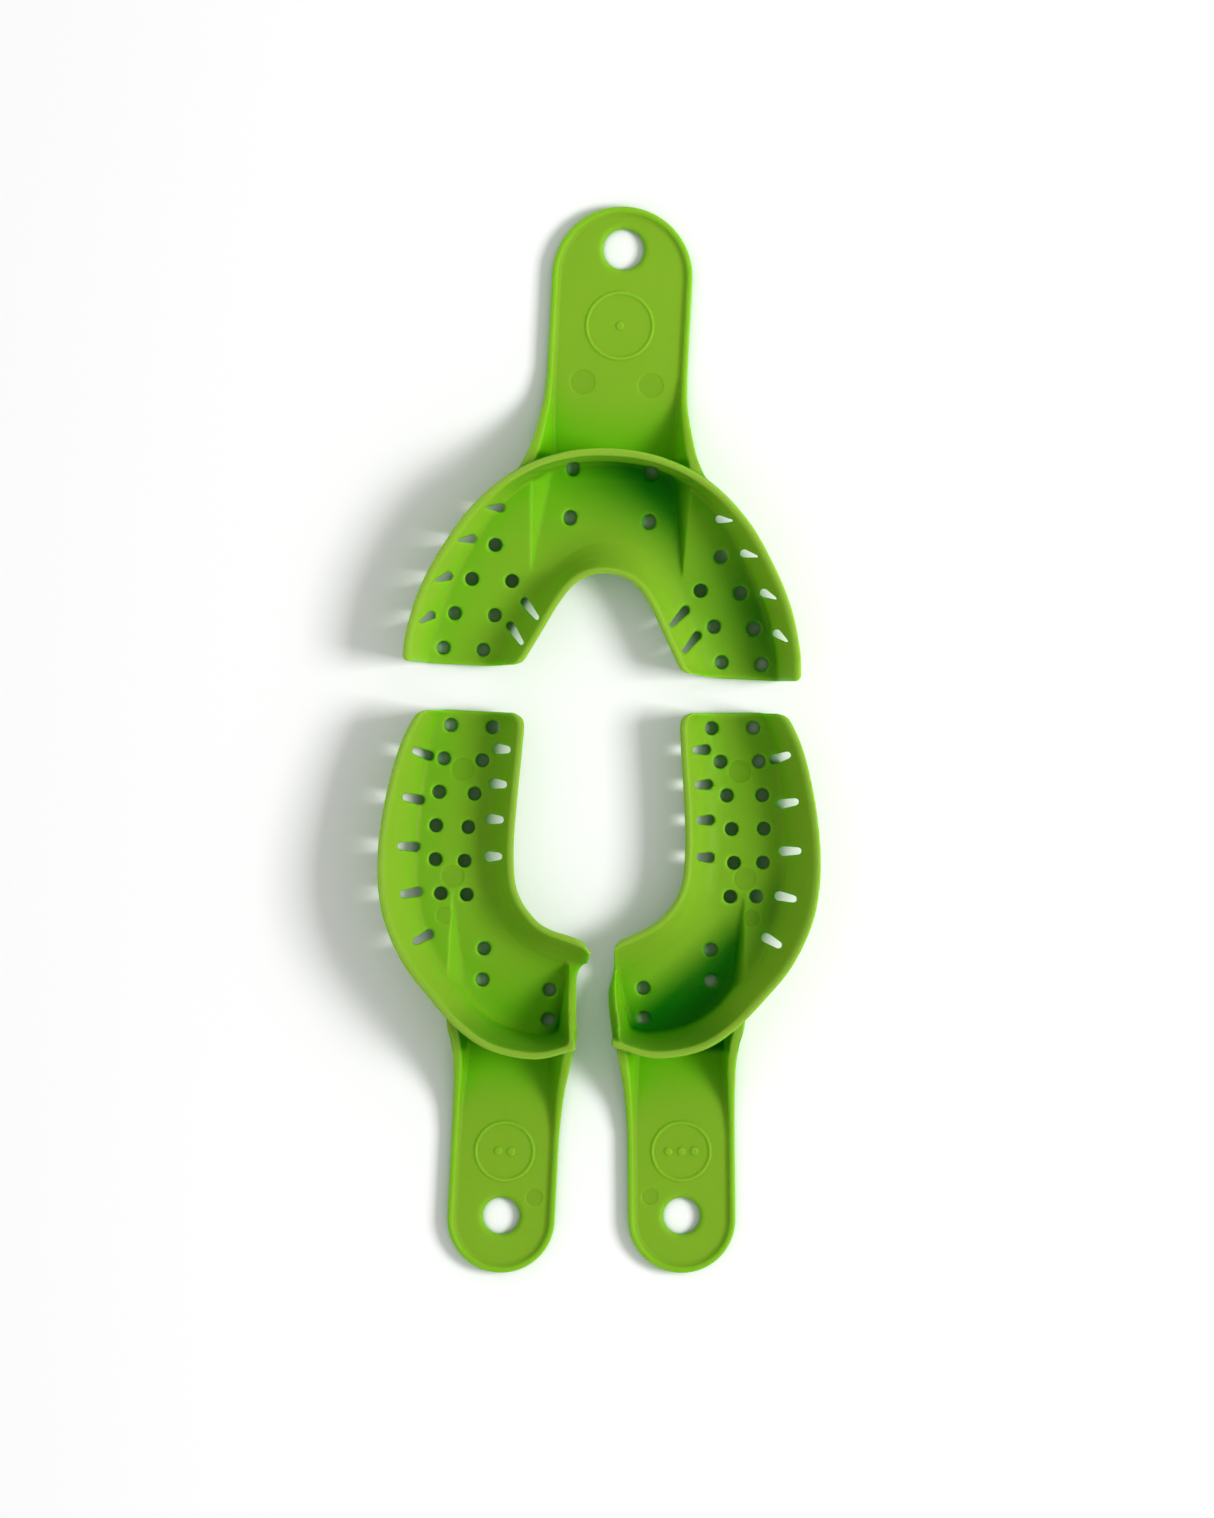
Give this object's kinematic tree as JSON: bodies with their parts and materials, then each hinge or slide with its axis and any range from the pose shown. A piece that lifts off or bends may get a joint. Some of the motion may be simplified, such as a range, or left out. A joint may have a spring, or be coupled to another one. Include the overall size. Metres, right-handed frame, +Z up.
{
  "type": "impression tray",
  "caption": "Perforated dental impression trays in lime plastic: a horseshoe front tray and left and right side trays, each with a flat rimmed handle and hanging hole",
  "frame": {"origin": "on the surface the trays lie on, under the middle of the box around the whole set", "axes": "+X to the right seen from above, +Y along the front tray's handle to its tip, +Z up out of the troughs"},
  "size_m": [0.0752, 0.181, 0.015],
  "materials": {
    "anterior_plastic": "satin moulded polystyrene",
    "left_quadrant_plastic": "satin moulded polystyrene",
    "right_quadrant_plastic": "satin moulded polystyrene"
  },
  "bodies": {
    "anterior": {"anterior_tray": "anterior_plastic"},
    "left_quadrant": {"left_quadrant_tray": "left_quadrant_plastic"},
    "right_quadrant": {"right_quadrant_tray": "right_quadrant_plastic"}
  },
  "joints": [
    {"name": "lift_left_quadrant", "type": "slide", "parent": "anterior", "child": "left_quadrant", "axis": [0, 0, 1], "range_m": [0, 0.05]},
    {"name": "lift_right_quadrant", "type": "slide", "parent": "anterior", "child": "right_quadrant", "axis": [0, 0, 1], "range_m": [0, 0.05]}
  ]
}
